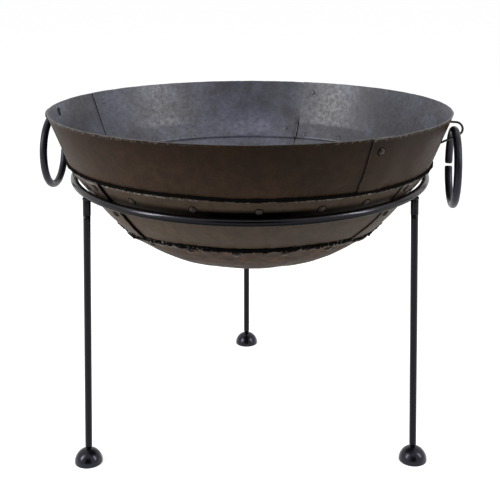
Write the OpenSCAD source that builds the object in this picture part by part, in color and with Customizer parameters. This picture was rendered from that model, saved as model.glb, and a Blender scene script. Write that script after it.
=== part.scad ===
// Riveted iron fire bowl with two ring handles, resting in a ring stand with three pull-out legs.
// Lengths are in millimetres. The floor is z = 0 under the bowl's centre, +Z is up and the front is -Y.
// Angles round the bowl are in degrees from the front, positive towards +X.

/* [Bowl] */
// Diameter over the rim
rim_d = 650; // [620:2:700]
// Diameter over the top edge of the side plates
side_top_d = 594; // [580:2:610]
// Diameter over the edge of the base dish
dish_d = 436; // [420:1:460]
// Height from the top edge of the side plates up to the rim
rim_course_h = 78; // [70:1:100]
// Height from the edge of the dish up to the top edge of the side plates
side_course_h = 97.3; // [90:0.1:105]
// How far the side plates bow outwards between their edges
side_bow = 4.1; // [1:0.1:6]
// Slope of the dish at its edge, in degrees from level
dish_edge_slope = 36.5; // [33:0.5:40]
// Width of the straight flange round the dish
dish_flange_w = 38; // [36:1:50]
// Thickness of the sheet iron
sheet_t = 2; // [1.5:0.1:2.5]
// Space that paint and scale leave between lapped sheets
lap_space = 0.1; // [0.05:0.05:0.2]
// Width of the overlap between one course and the next
course_lap_w = 34; // [32:1:36]

/* [Plate laps] */
// Width of the overlap between two rim plates
rim_lap_w = 44; // [36:1:46]
// Width of the overlap between two side plates
side_lap_w = 43; // [32:1:44]
// Width of the step where a lapped plate comes back down to its course
lap_step_w = 3; // [2:0.5:5]
// Space between the end of a plate and the step that covers it
lap_end_space = 1; // [0.5:0.1:2]
// How far a raised lap stops short of the next course
lap_stop = 1; // [1:0.5:4]
// Angle of the lap between the front and the right rim plate
front_rim_lap = 29.5; // [26:0.5:31]
// Angle of the lap between the right and the back rim plate
right_rim_lap = 153; // [151:0.5:155]
// Angle of the lap between the back and the front rim plate
back_rim_lap = 234; // [230:1:238]
// Angle of the lap between the front and the right side plate
right_side_lap = 47; // [45:0.5:50]
// Angle of the lap between the right and the left side plate
back_side_lap = 170; // [168:1:172]
// Angle of the lap between the left and the front side plate
left_side_lap = 314; // [312:1:317]

/* [Rivets] */
// Diameter of a rivet's shank
rivet_d = 5; // [4:0.5:6]
// Diameter of a rivet's head
rivet_head_d = 9.5; // [8:0.5:11]
// Height of the head outside
rivet_head_h = 3; // [2:0.25:4]
// Height of the hammered head inside
rivet_tail_h = 1.2; // [1:0.1:2.5]
// Distance of the upper seam's rivets from the top edge of the side plates
upper_rivet_drop = 24; // [20:0.5:25]
// Angle from one upper seam rivet to the next
upper_rivet_pitch = 18; // [12:1:24]
// Angle from the lap at a side plate's left to its first upper seam rivet
upper_rivet_start = 10.3; // [10.1:0.1:12]
// Angle from a side plate's last upper seam rivet to the lap at its right
upper_rivet_end = 12.2; // [10.1:0.1:14]
// Evenness of the pitch: 1 is even, and less draws the rivets towards the plate's right end
upper_rivet_creep = 0.88; // [0.84:0.02:1.06]
// Distance of the lower seam's rivets from the edge of the dish
lower_rivet_drop = 17; // [14:0.5:20]
// Number of rivets round the lower seam
lower_rivet_count = 18; // [12:1:24]
// Angle of the lower seam rivet nearest the front
lower_rivet_turn = -5.5; // [-8:0.5:-4]
// Distance of a rim lap's rivet below the rim
rim_lap_rivet_drop = 20; // [14:1:30]
// Distance of a side lap's first rivet below the top edge
side_lap_rivet_top = 13; // [11:0.5:16]
// Distance of a side lap's second rivet below the top edge
side_lap_rivet_low = 70; // [62:1:76]

/* [Handles] */
// Thickness of a ring handle's bar
handle_bar_d = 12; // [10:0.5:13]
// Diameter over a ring handle
handle_d = 126; // [110:1:130]
// Distance of the handle's turning line below the rim
handle_drop = 20.5; // [19:0.5:24]
// Distance of the handle's turning line outside the rim
handle_out = 4.2; // [3.5:0.1:6]
// Least space between a hanging ring and the side plates' top edge
handle_hang_space = 4; // [3:0.5:8]
// Angle of the right handle
right_handle_angle = 71; // [66:1:76]
// Angle of the left handle
left_handle_angle = 266; // [262:1:270]
// How far the right ring hangs turned from the rim's direction
right_handle_turn = 13; // [0:1:14]
// How far the left ring hangs turned from the rim's direction
left_handle_turn = -1; // [-5:1:5]
// Open gap between the ends of the right ring
right_handle_gap = 4; // [1:0.5:8]
// Closed-up gap between the ends of the left ring
left_handle_gap = 0.8; // [0.4:0.2:3]
// Angle of the ring's gap below its middle
handle_gap_angle = 8.5; // [0:0.5:20]
// Thickness of the eye's wire
eye_wire_d = 3.5; // [3:0.25:4]
// Radius of the eye's bend, to the middle of the wire
eye_bend_r = 10.25; // [10:0.25:12]
// Slope of the eye's lower leg, in degrees from level
eye_leg_slope = 28; // [20:1:32]
// How far the handle's bar lies in from the middle of the eye's bend
eye_bar_in = 2.3; // [1.5:0.1:2.5]
// Length of a clinched wire end inside the bowl
eye_clinch_l = 12; // [8:1:16]
// Angle by which the clinched ends spread from the downhill line
eye_clinch_spread = 28; // [15:1:40]

/* [Stand] */
// Thickness of the stand ring's bar
ring_bar_d = 12; // [10:0.5:14]
// Diameter of the stand ring, to the middle of its bar
ring_d = 568; // [556:1:580]
// Height of the middle of the ring's bar above the floor
ring_h = 435.5; // [380:0.5:480]

/* [Legs and feet] */
// Thickness of a leg's bar
leg_d = 11; // [9:0.5:12]
// Thickness of the pins turned on a leg's two ends
leg_pin_d = 8; // [6:0.5:9]
// Length of the neck from a leg's full thickness down to its lower pin
leg_neck_l = 5; // [3:0.5:10]
// Angle by which a leg leans outwards
leg_splay = 1.75; // [0:0.25:4]
// Angle of the left leg
left_leg_angle = -59.5; // [-65:0.5:-55]
// Angle of the right leg
right_leg_angle = 60.8; // [55:0.1:65]
// Angle of the back leg
back_leg_angle = 181.4; // [175:0.1:185]
// Outer diameter of a leg socket
socket_d = 12; // [11:0.5:15]
// Length of a socket below the middle of the ring's bar
socket_l = 32; // [26:1:40]
// Diameter over a foot
foot_d = 44; // [36:1:52]
// Height of the straight skirt under a foot's half ball
foot_skirt_h = 1; // [1:0.5:4]
// Chamfer round the base of a foot
foot_chamfer = 0.4; // [0.2:0.1:0.8]
// Depth of the hole for the leg in the top of a foot
foot_hole_depth = 9; // [6:1:14]
// Width of a weld bead
weld_w = 1.6; // [1.2:0.2:3]

/* [Clearances] */
// Space between the bowl's laps and the ring they rest on
seat_space = 0.3; // [0.2:0.05:0.4]
// Space round a leg in its socket, and between its end and the ring
leg_space = 0.3; // [0.2:0.05:0.4]
// Space between a handle's bar and its eye
eye_space = 0.6; // [0.5:0.05:0.8]
// Space round a rivet, a wire or a leg in the hole it is fixed in
fixed_space = 0.1; // [0.05:0.05:0.15]

/* [Hidden] */

bowl_fn = 144;
bar_fn = 32;
bow_steps = 12;
sheet_colour = "#4a423c";
dish_colour = "#574f48";
rivet_colour = "#3a3532";
bar_colour = "#1b1b1d";

layer = sheet_t + lap_space;
degrees_per_radian = 180 / PI;

// Lines in the bowl's section run down and inwards, as [radius, height]. A plate's line is its outer face.
// Heights here start from the top edge of the side plates.
function along(a, b) = (b - a) / norm(b - a);
function outward(a, b) = [-along(a, b)[1], along(a, b)[0]];
function segment_outward(line, i) = let(k = min(max(i, 0), len(line) - 2)) outward(line[k], line[k + 1]);
function moved_point(line, i, out) = let(n1 = segment_outward(line, i - 1), n2 = segment_outward(line, i))
    line[i] + out * (n1 + n2) / (1 + n1 * n2);
function moved(line, out) = [for (i = [0 : len(line) - 1]) moved_point(line, i, out)];
function reversed(line) = [for (i = [len(line) - 1 : -1 : 0]) line[i]];
function section(line, inner, outer) = concat(moved(line, outer), reversed(moved(line, inner)));
function crossing(p, d, q, e) = p + d * cross(q - p, e) / cross(d, e);

rim_edge = [rim_d / 2, rim_course_h];
side_edge = [side_top_d / 2, 0];
dish_edge = [dish_d / 2, -side_course_h];
dish_downhill = [-cos(dish_edge_slope), -sin(dish_edge_slope)];
dish_outward = [sin(dish_edge_slope), -cos(dish_edge_slope)];
side_bend = dish_edge - layer * dish_outward;
side_foot = side_bend + course_lap_w * dish_downhill;

// The side plates' section is an arc from their top edge to their bend. A drop is a length down along it.
bow_chord = norm(side_bend - side_edge);
bow_r = (bow_chord * bow_chord / 4 + side_bow * side_bow) / (2 * side_bow);
bow_outward = outward(side_edge, side_bend);
bow_centre = (side_edge + side_bend) / 2 + (side_bow - bow_r) * bow_outward;
bow_half_angle = asin(bow_chord / 2 / bow_r);
bow_l = 2 * bow_half_angle * bow_r / degrees_per_radian;
bow_top_lean = atan2(-bow_outward[1], bow_outward[0]) - bow_half_angle;
function side_lean(drop) = bow_top_lean + drop / bow_r * degrees_per_radian;
function side_outward(drop) = [cos(side_lean(drop)), -sin(side_lean(drop))];
function side_point(drop) = bow_centre + bow_r * side_outward(drop);
function side_arc(to) = [for (drop = [0 : bow_l / bow_steps : to - 1]) side_point(drop)];

rim_foot = [for (p = side_arc(course_lap_w)) bow_centre + (1 - layer / bow_r) * (p - bow_centre)];
rim_foot_end = side_point(course_lap_w) - layer * side_outward(course_lap_w);
rim_bend = rim_foot[0];
rim_downhill = along(rim_edge, rim_bend);
rim_outward = outward(rim_edge, rim_bend);
rim_lap_end = rim_bend - lap_stop * rim_downhill;
rim_line = concat([rim_edge, rim_lap_end], rim_foot, [rim_foot_end]);
rim_lap_line = [rim_edge, rim_lap_end];
rim_step_line = [rim_edge + lap_stop * rim_downhill, rim_lap_end - lap_stop * rim_downhill];
side_line = concat(side_arc(bow_l), [side_bend, side_foot]);
side_lap_line = concat(side_arc(bow_l), [side_point(bow_l - lap_stop)]);
side_step_line = [for (i = [1 : len(side_lap_line) - 2]) side_lap_line[i]];
rim_lean = atan2(-rim_outward[1], rim_outward[0]);

dish_flange_end = dish_edge + dish_flange_w * dish_downhill;
dish_r = dish_flange_end[0] / sin(dish_edge_slope);
dish_centre = [0, dish_flange_end[1] + dish_r * cos(dish_edge_slope)];

rim_lap_angle = rim_lap_w / rim_edge[0] * degrees_per_radian;
side_lap_angle = side_lap_w / side_edge[0] * degrees_per_radian;
lap_step_angle = lap_step_w / side_edge[0] * degrees_per_radian;
lap_end_angle = lap_end_space / side_edge[0] * degrees_per_radian;
side_cover_angle = side_lap_angle + lap_end_angle;

// The bowl sinks into the ring until the raised laps of the side plates bear on the bar.
ring_r = ring_d / 2;
seat_r = bow_r + layer + seat_space + ring_bar_d / 2;
bowl_z = ring_h - bow_centre[1] + sqrt(seat_r * seat_r - pow(ring_r - bow_centre[0], 2));

handle_r = (handle_d - handle_bar_d) / 2;
handle_turn_reach = handle_r * sin(max(abs(left_handle_turn), abs(right_handle_turn)));
handle_hang_r = side_edge[0] + handle_hang_space + handle_bar_d / 2 + handle_turn_reach;
handle_line = [max(rim_edge[0] + handle_out, handle_hang_r), rim_edge[1] - handle_drop];
eye_leg_dir = [-cos(eye_leg_slope), -sin(eye_leg_slope)];
eye_leg_outward = [sin(eye_leg_slope), -cos(eye_leg_slope)];
eye_bar_gap = handle_bar_d / 2 + eye_space + eye_wire_d / 2;
eye_centre = handle_line - (eye_bend_r - eye_bar_gap) * eye_leg_outward - eye_bar_in * eye_leg_dir;
eye_inside = moved([rim_edge, rim_bend], -sheet_t - fixed_space - eye_wire_d / 2);
eye_top = eye_centre + [0, eye_bend_r];
eye_low = eye_centre + eye_bend_r * eye_leg_outward;
eye_top_in = crossing(eye_top, [-1, 0], eye_inside[0], rim_downhill);
eye_low_in = crossing(eye_low, eye_leg_dir, eye_inside[0], rim_downhill);

foot_h = foot_d / 2 + foot_skirt_h;
foot_r = ring_r + ring_h * tan(leg_splay);
leg_top = ring_bar_d / 2 + leg_space;
leg_end = (ring_h - foot_h + foot_hole_depth) / cos(leg_splay);
leg_crown = (ring_h - foot_h) / cos(leg_splay);

side_laps = [left_side_lap - 360, right_side_lap, back_side_lap, left_side_lap];
rim_laps = [front_rim_lap, right_rim_lap, back_rim_lap];

// Places

module around(angle) {
    rotate([0, 0, angle - 90]) children();
}

module on_bowl() {
    translate([0, 0, bowl_z]) children();
}

// Children's +Z points out of the wall at a point of its section.
module on_wall(angle, point, lean) {
    around(angle) translate([point[0], 0, point[1]]) rotate([0, 90 + lean, 0]) children();
}

module on_side(angle, drop) {
    on_wall(angle, side_point(drop), side_lean(drop)) children();
}

module at_leg(angle) {
    around(angle) translate([ring_r, 0, ring_h]) rotate([0, -leg_splay, 0]) children();
}

module at_foot(angle) {
    around(angle) translate([foot_r, 0, 0]) children();
}

// Sheet work

module sheet(line, from, to, inner, outer) {
    rotate_extrude(angle = to - from, start = from - 90, $fn = bowl_fn) polygon(section(line, inner, outer));
}

module rivet(outer, inner) {
    translate([0, 0, inner]) cylinder(d = rivet_d, h = outer - inner, $fn = bar_fn);
    translate([0, 0, outer]) rivet_head(rivet_head_h);
    translate([0, 0, inner]) mirror([0, 0, 1]) rivet_head(rivet_tail_h);
}

module rivet_head(h) {
    head_r = rivet_head_d / 2;
    ball_r = (head_r * head_r + h * h) / (2 * h);
    intersection() {
        translate([0, 0, h - ball_r]) sphere(r = ball_r, $fn = bar_fn * 2);
        translate([0, 0, fixed_space / 2]) cylinder(r = head_r, h = h, $fn = bar_fn);
    }
    cylinder(d = rivet_d, h = h / 2, $fn = bar_fn);
}

module rivet_hole() {
    translate([0, 0, -3 * layer]) cylinder(d = rivet_d + 2 * fixed_space, h = 6 * layer, $fn = bar_fn);
}

// Upper seam rivets stand along each side plate, clear of its laps.
function upper_rivet_angles(from, to) = let(
    first = from + upper_rivet_start,
    last = to - upper_rivet_end,
    gaps = max(round((last - first) / upper_rivet_pitch), 1)
) [for (i = [0 : gaps]) first + (last - first) * pow(i / gaps, upper_rivet_creep)];
upper_rivets = [for (i = [0 : 2]) each upper_rivet_angles(side_laps[i], side_laps[i + 1])];
lower_rivets = [for (i = [0 : lower_rivet_count - 1]) lower_rivet_turn + i * 360 / lower_rivet_count];
side_lap_rivet_angles = [
    right_side_lap + side_lap_angle / 2,
    back_side_lap - side_lap_angle / 2,
    left_side_lap - side_lap_angle / 2,
];
rim_lap_rivet_angles = [for (a = rim_laps) a + rim_lap_angle / 2];

module at_upper_rivets() {
    for (a = upper_rivets) on_side(a, upper_rivet_drop) children();
}

module at_lower_rivets() {
    for (a = lower_rivets) on_wall(a, dish_edge + lower_rivet_drop * dish_downhill, 90 - dish_edge_slope) children();
}

module at_side_lap_rivets(drop) {
    for (a = side_lap_rivet_angles) on_side(a, drop) children();
}

module at_rim_lap_rivets() {
    for (a = rim_lap_rivet_angles) on_wall(a, rim_edge + rim_lap_rivet_drop * rim_downhill, rim_lean) children();
}

// The step between a raised end and the rest of its plate, as a web inside the two
module lap_step(line, middle) {
    sheet(line, middle - lap_step_angle / 4, middle + lap_step_angle / 4, -sheet_t / 2, layer / 2);
}

// A rim plate runs from its raised end at one lap to under the next plate at the other.
module rim_plate(from, to) {
    start = from + rim_lap_angle + lap_end_angle;
    color(sheet_colour) on_bowl() difference() {
        union() {
            sheet(rim_line, start, to + rim_lap_angle, -sheet_t, 0);
            sheet(rim_lap_line, from, start + lap_step_angle, lap_space, layer);
            lap_step(rim_step_line, start + lap_step_angle / 2);
        }
        at_rim_lap_rivets() rivet_hole();
        at_upper_rivets() rivet_hole();
        at_side_lap_rivets(side_lap_rivet_top) rivet_hole();
        handle_eye_holes(left_handle_angle);
        handle_eye_holes(right_handle_angle);
    }
}

// A side plate lies under its neighbour at a lap, or over it with a raised end.
module side_plate(from, to, over_from, over_to) {
    start = over_from ? from + side_cover_angle : from - side_lap_angle;
    stop = over_to ? to - side_cover_angle : to + side_lap_angle;
    color(sheet_colour) on_bowl() difference() {
        union() {
            sheet(side_line, start, stop, -sheet_t, 0);
            if (over_from) {
                sheet(side_lap_line, from, start + lap_step_angle, lap_space, layer);
                lap_step(side_step_line, start + lap_step_angle / 2);
            }
            if (over_to) {
                sheet(side_lap_line, stop - lap_step_angle, to, lap_space, layer);
                lap_step(side_step_line, stop - lap_step_angle / 2);
            }
        }
        at_upper_rivets() rivet_hole();
        at_side_lap_rivets(side_lap_rivet_top) rivet_hole();
        at_side_lap_rivets(side_lap_rivet_low) rivet_hole();
        at_lower_rivets() rivet_hole();
    }
}

module base_dish() {
    color(dish_colour) on_bowl() difference() {
        union() {
            sheet([dish_edge, dish_flange_end], 0, 360, -sheet_t, 0);
            intersection() {
                translate([0, 0, dish_centre[1]]) difference() {
                    sphere(r = dish_r, $fn = bowl_fn);
                    sphere(r = dish_r - sheet_t, $fn = bowl_fn);
                }
                dish_cap_wedge();
            }
        }
        at_lower_rivets() rivet_hole();
    }
}

// The cone from the dish's centre through the end of its flange
module dish_cap_wedge() {
    reach = dish_r * 2;
    top = dish_centre[1];
    rotate_extrude($fn = bowl_fn) polygon([
        [0, top],
        [reach * sin(dish_edge_slope), top - reach * cos(dish_edge_slope)],
        [0, top - reach * cos(dish_edge_slope)],
    ]);
}

module upper_seam_rivets() {
    color(rivet_colour) on_bowl() at_upper_rivets() rivet(0, -layer - sheet_t);
}

module lower_seam_rivets() {
    color(rivet_colour) on_bowl() at_lower_rivets() rivet(0, -layer - sheet_t);
}

module rim_lap_rivets() {
    color(rivet_colour) on_bowl() at_rim_lap_rivets() rivet(layer, -sheet_t);
}

module side_lap_rivets() {
    color(rivet_colour) on_bowl() {
        at_side_lap_rivets(side_lap_rivet_top) rivet(layer, -layer - sheet_t);
        at_side_lap_rivets(side_lap_rivet_low) rivet(layer, -sheet_t);
    }
}

// Handles

// A straight round rod between two points of the section, in the plane of the children's X and Z.
module rod(a, b, d) {
    slope = atan2(b[1] - a[1], b[0] - a[0]);
    translate([a[0], 0, a[1]]) rotate([0, 90 - slope, 0]) cylinder(d = d, h = norm(b - a), $fn = bar_fn);
}

// The wire swells a little where it is hammered round a bend.
module eye_bend() {
    sphere(d = eye_wire_d * 1.06, $fn = bar_fn);
}

module eye_clinch(point, spread) {
    down = atan2(rim_downhill[0], -rim_downhill[1]);
    translate([point[0], 0, point[1]]) {
        eye_bend();
        rotate([0, 180 - down, 0]) rotate([spread, 0, 0]) cylinder(d = eye_wire_d, h = eye_clinch_l, $fn = bar_fn);
    }
}

module handle_eye(angle) {
    color(bar_colour) on_bowl() around(angle) {
        translate([eye_centre[0], 0, eye_centre[1]]) rotate([90, 0, 0])
            rotate_extrude(angle = 180 - eye_leg_slope, start = eye_leg_slope - 90, $fn = 2 * bar_fn)
                translate([eye_bend_r, 0]) circle(d = eye_wire_d, $fn = bar_fn);
        rod(eye_top, eye_top_in, eye_wire_d);
        rod(eye_low, eye_low_in, eye_wire_d);
        translate([eye_low[0], 0, eye_low[1]]) eye_bend();
        eye_clinch(eye_top_in, eye_clinch_spread);
        eye_clinch(eye_low_in, -eye_clinch_spread);
    }
}

module handle_eye_holes(angle) {
    around(angle) {
        rod(eye_top, eye_top_in, eye_wire_d + 2 * fixed_space);
        rod(eye_low, eye_low_in, eye_wire_d + 2 * fixed_space);
    }
}

// The ring's gap stands below its middle, at the side given as an angle from the ring's own +Y.
module ring_handle(angle, turn, gap, gap_at) {
    gap_angle = gap / handle_r * degrees_per_radian;
    color(bar_colour) on_bowl() around(angle) translate([handle_line[0], 0, handle_line[1]])
        rotate([0, 0, turn]) translate([0, 0, -handle_r]) rotate([90, 0, 90])
            rotate_extrude(angle = 360 - gap_angle, start = gap_at + gap_angle / 2, $fn = 3 * bar_fn)
                translate([handle_r, 0]) circle(d = handle_bar_d, $fn = bar_fn);
}

module left_ring_handle() {
    ring_handle(left_handle_angle, left_handle_turn, left_handle_gap, 180 + handle_gap_angle);
}

module right_ring_handle() {
    ring_handle(right_handle_angle, right_handle_turn, right_handle_gap, -handle_gap_angle);
}

// Stand

module stand_ring() {
    color(bar_colour) ring_bar(0);
}

module ring_bar(space) {
    translate([0, 0, ring_h]) rotate_extrude($fn = bowl_fn)
        translate([ring_r, 0]) circle(d = ring_bar_d + 2 * space, $fn = bar_fn);
}

module leg_socket(angle) {
    saddle = ring_bar_d / 3;
    color(bar_colour) difference() {
        at_leg(angle) difference() {
            translate([0, 0, -socket_l]) cylinder(d = socket_d, h = socket_l - saddle, $fn = bar_fn);
            translate([0, 0, -socket_l - 1]) cylinder(d = leg_pin_d + 2 * leg_space, h = socket_l, $fn = bar_fn);
        }
        ring_bar(0);
    }
}

// A ring of weld metal round a tube or bar, thick where it meets what lies above or below it
module weld_bead(d) {
    rotate_extrude($fn = bar_fn) polygon([
        [d / 2, -weld_w * 2],
        [d / 2 + weld_w / 3, -weld_w * 1.6],
        [d / 2 + weld_w, 0],
        [d / 2 + weld_w * 0.8, weld_w / 2],
        [d / 2, weld_w / 2],
    ]);
}

module socket_weld(angle) {
    color(bar_colour) difference() {
        at_leg(angle) translate([0, 0, -ring_bar_d / 2]) weld_bead(socket_d);
        ring_bar(0);
    }
}

// The upper pin stands in the socket, and the lower one is fixed in the foot.
module leg(angle) {
    shoulder = socket_l + leg_space;
    neck = leg_crown - leg_neck_l;
    color(bar_colour) at_leg(angle) {
        translate([0, 0, -leg_end]) cylinder(d = leg_pin_d, h = leg_end - leg_top, $fn = bar_fn);
        translate([0, 0, -neck]) cylinder(d = leg_d, h = neck - shoulder, $fn = bar_fn);
        translate([0, 0, -leg_crown]) cylinder(d1 = leg_pin_d, d2 = leg_d, h = leg_neck_l, $fn = bar_fn);
    }
}

module foot_body(angle) {
    at_foot(angle) {
        cylinder(d1 = foot_d - 2 * foot_chamfer, d2 = foot_d, h = foot_chamfer, $fn = 2 * bar_fn);
        translate([0, 0, foot_chamfer])
            cylinder(d = foot_d, h = foot_skirt_h - foot_chamfer, $fn = 2 * bar_fn);
        intersection() {
            translate([0, 0, foot_skirt_h]) sphere(d = foot_d, $fn = 2 * bar_fn);
            translate([0, 0, foot_skirt_h]) cylinder(d = foot_d + 2, h = foot_d, $fn = 2 * bar_fn);
        }
    }
}

module foot(angle) {
    color(bar_colour) difference() {
        foot_body(angle);
        at_leg(angle) translate([0, 0, -leg_end - fixed_space])
            cylinder(d = leg_pin_d + 2 * fixed_space, h = leg_end, $fn = bar_fn);
    }
}

rim_plate(back_rim_lap - 360, front_rim_lap);  // front_rim_plate
rim_plate(front_rim_lap, right_rim_lap);  // right_rim_plate
rim_plate(right_rim_lap, back_rim_lap);  // back_rim_plate
side_plate(left_side_lap - 360, right_side_lap, false, false);  // front_side_plate
side_plate(right_side_lap, back_side_lap, true, true);  // right_side_plate
side_plate(back_side_lap, left_side_lap, false, true);  // left_side_plate
base_dish();
upper_seam_rivets();
lower_seam_rivets();
rim_lap_rivets();
side_lap_rivets();
handle_eye(left_handle_angle);  // left_handle_eye
handle_eye(right_handle_angle);  // right_handle_eye
left_ring_handle();
right_ring_handle();
stand_ring();
leg_socket(left_leg_angle);  // left_leg_socket
leg_socket(right_leg_angle);  // right_leg_socket
leg_socket(back_leg_angle);  // back_leg_socket
socket_weld(left_leg_angle);  // left_socket_weld
socket_weld(right_leg_angle);  // right_socket_weld
socket_weld(back_leg_angle);  // back_socket_weld
leg(left_leg_angle);  // left_leg
leg(right_leg_angle);  // right_leg
leg(back_leg_angle);  // back_leg
foot(left_leg_angle);  // left_foot
foot(right_leg_angle);  // right_foot
foot(back_leg_angle);  // back_foot
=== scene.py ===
from math import asin, atan2, cos, degrees, exp, hypot, pi, radians, sin, sqrt

import bmesh
import bpy
from mathutils import Matrix, Vector, noise


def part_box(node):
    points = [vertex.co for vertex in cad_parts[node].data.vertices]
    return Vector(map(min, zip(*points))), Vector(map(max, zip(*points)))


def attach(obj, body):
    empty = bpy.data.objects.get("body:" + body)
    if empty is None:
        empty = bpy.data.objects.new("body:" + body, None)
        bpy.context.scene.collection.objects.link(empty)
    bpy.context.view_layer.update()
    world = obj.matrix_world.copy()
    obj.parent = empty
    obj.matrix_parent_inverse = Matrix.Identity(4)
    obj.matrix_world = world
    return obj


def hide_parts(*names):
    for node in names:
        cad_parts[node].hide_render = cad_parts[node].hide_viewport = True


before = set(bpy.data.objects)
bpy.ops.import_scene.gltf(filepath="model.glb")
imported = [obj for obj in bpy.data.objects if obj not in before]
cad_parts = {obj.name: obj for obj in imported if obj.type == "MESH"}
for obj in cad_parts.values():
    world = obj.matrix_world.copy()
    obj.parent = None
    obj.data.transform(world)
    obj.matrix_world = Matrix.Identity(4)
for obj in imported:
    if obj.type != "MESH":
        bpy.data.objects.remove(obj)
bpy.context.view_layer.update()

# Base dish
# A disc of 2 mm mild steel, pressed over a former and hammered outwards, with a straight flange that laps
# outside the side plates. Its edge was cut with hand shears, so it wavers and stands proud in places.
SHEET = 2.0
LAYER = 2.1
BOWL_Z = 469.15
DISH_EDGE = Vector((218.0, BOWL_Z - 97.3))
DISH_SLOPE = radians(36.5)
DISH_FLANGE = 38.0
STAND_RING_Z = 435.5
TRUE_NEAR_RING = 24.0  # the wall runs true within this of the ring's height, where it rests
RING_PLAY = 0.12
LONG_WAVE, LONG_WAVE_H = 95.0, 0.55
SHORT_WAVE, SHORT_WAVE_H = 31.0, 0.22
FULLER = 4.0
HAMMER_MARK, HAMMER_DEPTH = 24.0, 0.9
LIP_BUMPS = ((-53, 7, 4.6), (-66, 7, -3.0), (49, 6, 3.6), (64, 8, -3.4))  # angle, reach, height
LIP_WEAR_AND_GLINT, LIP_WEAR_AND_GLINT_W = 8.0, 2.6  # how far below the cut edge the band of wear and painted glint lies, and how wide it is


def colour(text):
    """A linear colour from sRGB hex digits."""
    parts = [int(text[i:i + 2], 16) / 255 for i in (1, 3, 5)]
    return [p / 12.92 if p <= 0.04045 else ((p + 0.055) / 1.055) ** 2.4 for p in parts] + [1.0]


def fill(tree, node, inputs):
    """Sets a node's inputs. Each is a plain value, or the output that links to it."""
    for key, value in inputs.items():
        if isinstance(value, bpy.types.NodeSocket):
            tree.links.new(value, node.inputs[key])
        else:
            node.inputs[key].default_value = value


def add(tree, kind, inputs, **settings):
    """Adds one shader node with its settings."""
    made = tree.nodes.new("ShaderNode" + kind)
    for name, value in settings.items():
        setattr(made, name, value)
    fill(tree, made, inputs)
    return made


def place_on(tree):
    """The point's own place on the object, in metres."""
    return add(tree, "TexCoord", {}).outputs["Object"]


def cloudy(tree, place, size, detail, rough=0.5, **more):
    """Fractal noise, with patches of about this size in metres."""
    inputs = {"Vector": place, "Scale": 1 / size, "Detail": detail, "Roughness": rough, **more}
    return add(tree, "TexNoise", inputs).outputs["Fac"]


def remap(tree, value, start, stop, low=0.0, high=1.0):
    """Goes from low to high as the value goes from start to stop, and no further."""
    inputs = {"Value": value, "From Min": start, "From Max": stop, "To Min": low, "To Max": high}
    return add(tree, "MapRange", inputs).outputs["Result"]


def times(tree, one, other):
    """The product of two values."""
    return add(tree, "Math", {0: one, 1: other}, operation="MULTIPLY").outputs[0]


def blend(tree, share, one, other, kind="MIX"):
    """One colour at a share of 0, and both blended by kind at 1."""
    return add(tree, "Mix", {"Factor": share, 6: one, 7: other}, data_type="RGBA", blend_type=kind).outputs[2]


def dented(tree, height, strength, depth):
    """A normal with small relief, its depth in metres."""
    inputs = {"Height": height, "Strength": strength, "Distance": depth}
    return add(tree, "Bump", inputs).outputs["Normal"]


def new_material(name, **surface):
    """A material with its Principled shader, whose fixed values are set on its own sockets."""
    material = bpy.data.materials.new(name)
    material.use_nodes = True
    shader = material.node_tree.nodes["Principled BSDF"]
    for key, value in surface.items():
        shader.inputs[key.replace("_", " ")].default_value = value
    return material, material.node_tree, shader


def smooth_step(x):
    """Goes smoothly from 0 to 1 as x does."""
    x = min(1.0, max(0.0, x))
    return x * x * (3 - 2 * x)


def wall_shift(p):
    """How far the hammered sheet stands out of true at a point, in mm. Laps share it, so they stay closed.
    Below the stand ring the bowl is a little fuller at its sides than at its front and back."""
    shift = LONG_WAVE_H * noise.noise(p / LONG_WAVE)
    shift += SHORT_WAVE_H * noise.noise(p / SHORT_WAVE + Vector((7, 3, 1)))
    rest = max(0.0, 1 - abs(p.z - STAND_RING_Z) / TRUE_NEAR_RING)
    off_front = abs(degrees(atan2(p.x, -p.y)))
    fuller = FULLER * smooth_step((off_front - 20) / 30) * smooth_step((170 - off_front) / 40)
    fuller *= smooth_step((430 - p.z) / 50) * smooth_step((hypot(p.x, p.y) - 20) / 90)
    return shift * (1 - rest) - RING_PLAY * rest + fuller


def hammer_dents(p):
    """Shallow dents that meet in soft ridges, as a round hammer leaves them."""
    nearest = noise.voronoi(p / HAMMER_MARK)[0][0]
    return HAMMER_DEPTH * (min(nearest, 0.8) ** 2 - 0.2)


def spun_skin(outline, start, stop, step):
    """One skin of sheet: points of radius and height, spun round the bowl's axis from the angle start to
    stop. Angles run from the front."""
    bm = bmesh.new()
    turn = Matrix.Rotation(radians(start), 3, "Z")
    verts = [bm.verts.new(turn @ Vector((0, -r, z))) for r, z in outline]
    edges = [bm.edges.new(pair) for pair in zip(verts, verts[1:])]
    full = stop - start >= 360
    bmesh.ops.spin(bm, geom=verts + edges, cent=(0, 0, 0), axis=(0, 0, 1), angle=radians(stop - start),
                   steps=round((stop - start) / step), use_merge=full, use_duplicate=False)
    bmesh.ops.remove_doubles(bm, verts=bm.verts, dist=0.01)
    outwards = sum(f.normal.dot(f.calc_center_median() - Vector((0, 0, 700))) for f in bm.faces)
    if outwards < 0:
        bmesh.ops.reverse_faces(bm, faces=bm.faces)
    return bm


def spin_round(bm, geom, steps, merge):
    """Sweeps a profile once round the upright axis, and closes it."""
    bmesh.ops.spin(bm, geom=geom, cent=(0, 0, 0), axis=(0, 0, 1), angle=2 * pi, steps=steps, use_merge=True,
                   use_duplicate=False)
    bmesh.ops.remove_doubles(bm, verts=bm.verts, dist=merge)


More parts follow.
